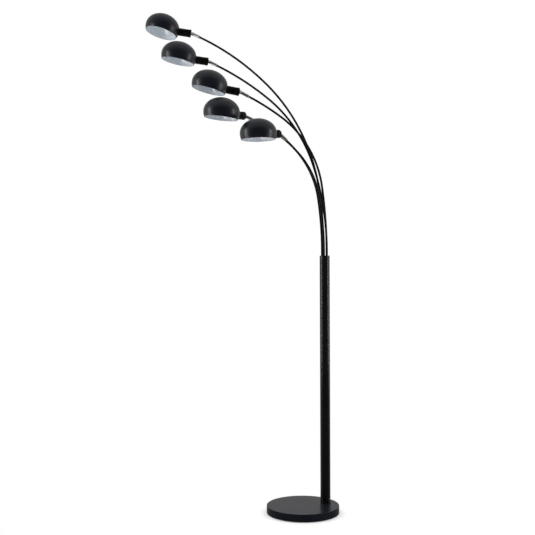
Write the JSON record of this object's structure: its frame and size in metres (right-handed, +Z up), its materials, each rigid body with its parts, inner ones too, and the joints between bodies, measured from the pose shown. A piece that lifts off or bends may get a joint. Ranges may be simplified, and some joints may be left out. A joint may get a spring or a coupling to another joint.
{
  "type": "tree floor lamp",
  "caption": "Tree floor lamp: a round weighted base, a straight pole and bent tube arms that fan out, each with a domed metal shade on a swivel.",
  "frame": {"origin": "middle of the underside of the round base, on the floor", "axes": "+Z up along the pole; the pole stands off the middle of the base along +X and the arms lean towards -X"},
  "size_m": [0.7335, 0.6159, 2.1328],
  "materials": {
    "base_black": "satin black powder coat",
    "pole_black": "semi-gloss black powder coat",
    "arm_black": "satin black powder coat",
    "shade_black": "satin black outside, white enamel inside",
    "cup_black": "matt black moulding",
    "holder_white": "moulded white",
    "opal_glass": "opal",
    "satin_nickel": "satin nickel plate",
    "steel": "zinc plated",
    "rubber": "matt"
  },
  "bodies": {
    "stand": {"base_disc": "base_black", "base_pad": "rubber", "cord_grommet": "rubber", "foot_plug": "steel", "foot_bolt": "steel", "pole_lower": "pole_black", "pole_joiner": "steel", "pole_upper": "pole_black", "top_plug": "pole_black", "grub_screws": "steel"},
    "arm_with_sleeve_1": {"arm_1": "arm_black", "arm_sleeve_1": "satin_nickel"},
    "swivel_1": {"swivel_stem_1": "satin_nickel"},
    "lamp_head_1": {"socket_cup_1": "cup_black", "lamp_holder_1": "holder_white", "shade_1": "shade_black", "shade_ring_1": "holder_white", "bulb_1": "opal_glass", "swivel_eye_1": "satin_nickel"},
    "switch_1": {"switch_knob_1": "cup_black"},
    "arm_with_sleeve_2": {"arm_2": "arm_black", "arm_sleeve_2": "satin_nickel"},
    "swivel_2": {"swivel_stem_2": "satin_nickel"},
    "lamp_head_2": {"socket_cup_2": "cup_black", "lamp_holder_2": "holder_white", "shade_2": "shade_black", "shade_ring_2": "holder_white", "bulb_2": "opal_glass", "swivel_eye_2": "satin_nickel"},
    "switch_2": {"switch_knob_2": "cup_black"},
    "arm_with_sleeve_3": {"arm_3": "arm_black", "arm_sleeve_3": "satin_nickel"},
    "swivel_3": {"swivel_stem_3": "satin_nickel"},
    "lamp_head_3": {"socket_cup_3": "cup_black", "lamp_holder_3": "holder_white", "shade_3": "shade_black", "shade_ring_3": "holder_white", "bulb_3": "opal_glass", "swivel_eye_3": "satin_nickel"},
    "switch_3": {"switch_knob_3": "cup_black"},
    "arm_with_sleeve_4": {"arm_4": "arm_black", "arm_sleeve_4": "satin_nickel"},
    "swivel_4": {"swivel_stem_4": "satin_nickel"},
    "lamp_head_4": {"socket_cup_4": "cup_black", "lamp_holder_4": "holder_white", "shade_4": "shade_black", "shade_ring_4": "holder_white", "bulb_4": "opal_glass", "swivel_eye_4": "satin_nickel"},
    "switch_4": {"switch_knob_4": "cup_black"},
    "arm_with_sleeve_5": {"arm_5": "arm_black", "arm_sleeve_5": "satin_nickel"},
    "swivel_5": {"swivel_stem_5": "satin_nickel"},
    "lamp_head_5": {"socket_cup_5": "cup_black", "lamp_holder_5": "holder_white", "shade_5": "shade_black", "shade_ring_5": "holder_white", "bulb_5": "opal_glass", "swivel_eye_5": "satin_nickel"},
    "switch_5": {"switch_knob_5": "cup_black"}
  },
  "joints": [
    {"name": "arm_swing_1", "type": "hinge", "parent": "stand", "child": "arm_with_sleeve_1", "pos_m": [0.09989, 0.011, 1.066], "axis": [0, 0, 1], "range_deg": [-14, 8]},
    {"name": "head_turn_1", "type": "hinge", "parent": "arm_with_sleeve_1", "child": "swivel_1", "pos_m": [-0.38069, 0.35252, 2.04408], "axis": [-0.723, 0.5138, 0.4617], "range_deg": [-80, 80]},
    {"name": "head_tilt_1", "type": "hinge", "parent": "swivel_1", "child": "lamp_head_1", "pos_m": [-0.38069, 0.35252, 2.04408], "axis": [-0.1133, -0.7476, 0.6544], "range_deg": [-50, 40]},
    {"name": "switch_turn_1", "type": "hinge", "parent": "lamp_head_1", "child": "switch_1", "pos_m": [-0.4109, 0.34334, 2.05026], "axis": [-0.2652, -0.9577, 0.1118], "range_deg": [0, 90]},
    {"name": "arm_swing_2", "type": "hinge", "parent": "stand", "child": "arm_with_sleeve_2", "pos_m": [0.10656, -0.00883, 1.066], "axis": [0, 0, 1], "range_deg": [-5, 1]},
    {"name": "head_turn_2", "type": "hinge", "parent": "arm_with_sleeve_2", "child": "swivel_2", "pos_m": [-0.33078, 0.24776, 1.90156], "axis": [-0.7616, 0.4468, 0.4695], "range_deg": [-80, 80]},
    {"name": "head_tilt_2", "type": "hinge", "parent": "swivel_2", "child": "lamp_head_2", "pos_m": [-0.33078, 0.24776, 1.90156], "axis": [0.0641, -0.6689, 0.7406], "range_deg": [-30, 25]},
    {"name": "switch_turn_2", "type": "hinge", "parent": "lamp_head_2", "child": "switch_2", "pos_m": [-0.35763, 0.23005, 1.90262], "axis": [0.0039, -0.9981, -0.0609], "range_deg": [0, 90]},
    {"name": "arm_swing_3", "type": "hinge", "parent": "stand", "child": "arm_with_sleeve_3", "pos_m": [0.11042, 0.00351, 1.066], "axis": [0, 0, 1], "range_deg": [-1, 12]},
    {"name": "head_turn_3", "type": "hinge", "parent": "arm_with_sleeve_3", "child": "swivel_3", "pos_m": [-0.23255, 0.10445, 1.74959], "axis": [-0.847, 0.2493, 0.4695], "range_deg": [-20, 80]},
    {"name": "head_tilt_3", "type": "hinge", "parent": "swivel_3", "child": "lamp_head_3", "pos_m": [-0.23255, 0.10445, 1.74959], "axis": [0.0835, -0.8098, 0.5807], "range_deg": [-30, 10]},
    {"name": "switch_turn_3", "type": "hinge", "parent": "lamp_head_3", "child": "switch_3", "pos_m": [-0.2593, 0.08675, 1.75206], "axis": [0.0007, -0.9982, -0.0605], "range_deg": [0, 90]},
    {"name": "arm_swing_4", "type": "hinge", "parent": "stand", "child": "arm_with_sleeve_4", "pos_m": [0.0895, 0.00329, 1.066], "axis": [0, 0, 1], "range_deg": [-14, 4]},
    {"name": "head_turn_4", "type": "hinge", "parent": "arm_with_sleeve_4", "child": "swivel_4", "pos_m": [-0.21452, 0.10149, 1.65087], "axis": [-0.8516, 0.2751, 0.4462], "range_deg": [-80, 15]},
    {"name": "head_tilt_4", "type": "hinge", "parent": "swivel_4", "child": "lamp_head_4", "pos_m": [-0.21452, 0.10149, 1.65087], "axis": [0.2491, -0.5366, 0.8062], "range_deg": [-10, 10]},
    {"name": "switch_turn_4", "type": "hinge", "parent": "lamp_head_4", "child": "switch_4", "pos_m": [-0.22958, 0.07322, 1.64778], "axis": [0.487, -0.8682, -0.0957], "range_deg": [0, 90]},
    {"name": "arm_swing_5", "type": "hinge", "parent": "stand", "child": "arm_with_sleeve_5", "pos_m": [0.09363, -0.00897, 1.066], "axis": [0, 0, 1], "range_deg": [-4, 14]},
    {"name": "head_turn_5", "type": "hinge", "parent": "arm_with_sleeve_5", "child": "swivel_5", "pos_m": [-0.0849, 0.03029, 1.57122], "axis": [-0.6966, 0.1532, 0.7009], "range_deg": [-30, 80]},
    {"name": "head_tilt_5", "type": "hinge", "parent": "swivel_5", "child": "lamp_head_5", "pos_m": [-0.0849, 0.03029, 1.57122], "axis": [0.3745, -0.7557, 0.5373], "range_deg": [-10, 15]},
    {"name": "switch_turn_5", "type": "hinge", "parent": "lamp_head_5", "child": "switch_5", "pos_m": [-0.09858, 0.00138, 1.56761], "axis": [0.5214, -0.8532, 0.0086], "range_deg": [0, 90]}
  ]
}
